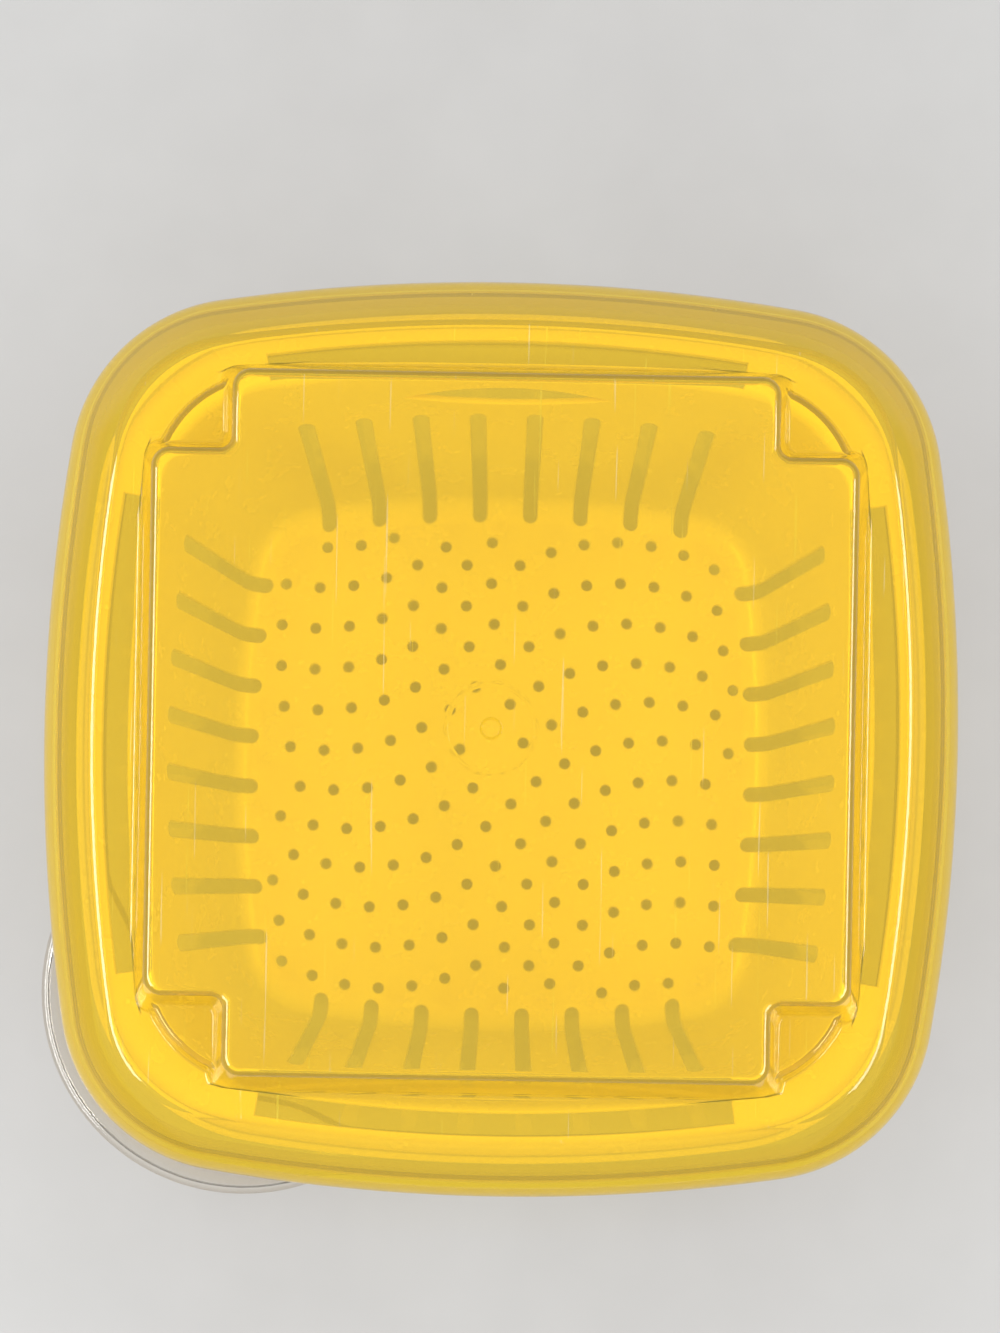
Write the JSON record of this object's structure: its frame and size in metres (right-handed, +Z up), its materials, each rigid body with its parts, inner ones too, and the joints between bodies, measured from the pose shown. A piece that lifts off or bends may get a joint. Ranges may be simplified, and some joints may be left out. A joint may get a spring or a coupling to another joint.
{
  "type": "lidded salad strainer set",
  "caption": "Square salad strainer set: a bowl with a corner pouring lip, a slotted basket that hangs in it, and a lid with a plus-shaped raised top.",
  "frame": {"origin": "centre of the bowl's flat underside, on the table", "axes": "+Z up out of the bowl, +X and +Y straight out through two neighbouring sides of the square, and the pouring lip at the corner towards -X and -Y"},
  "size_m": [0.2622, 0.2622, 0.134],
  "materials": {
    "bowl_plastic": "gloss",
    "basket_plastic": "gloss",
    "lid_plastic": "gloss"
  },
  "bodies": {
    "bowl": {"bowl": "bowl_plastic"},
    "basket": {"basket": "basket_plastic"},
    "lid": {"lid": "lid_plastic"}
  },
  "joints": [
    {"name": "basket_lift", "type": "slide", "parent": "bowl", "child": "basket", "axis": [0, 0, 1], "range_m": [0, 0.11]},
    {"name": "lid_lift", "type": "slide", "parent": "basket", "child": "lid", "axis": [0, 0, 1], "range_m": [0, 0.06]}
  ]
}
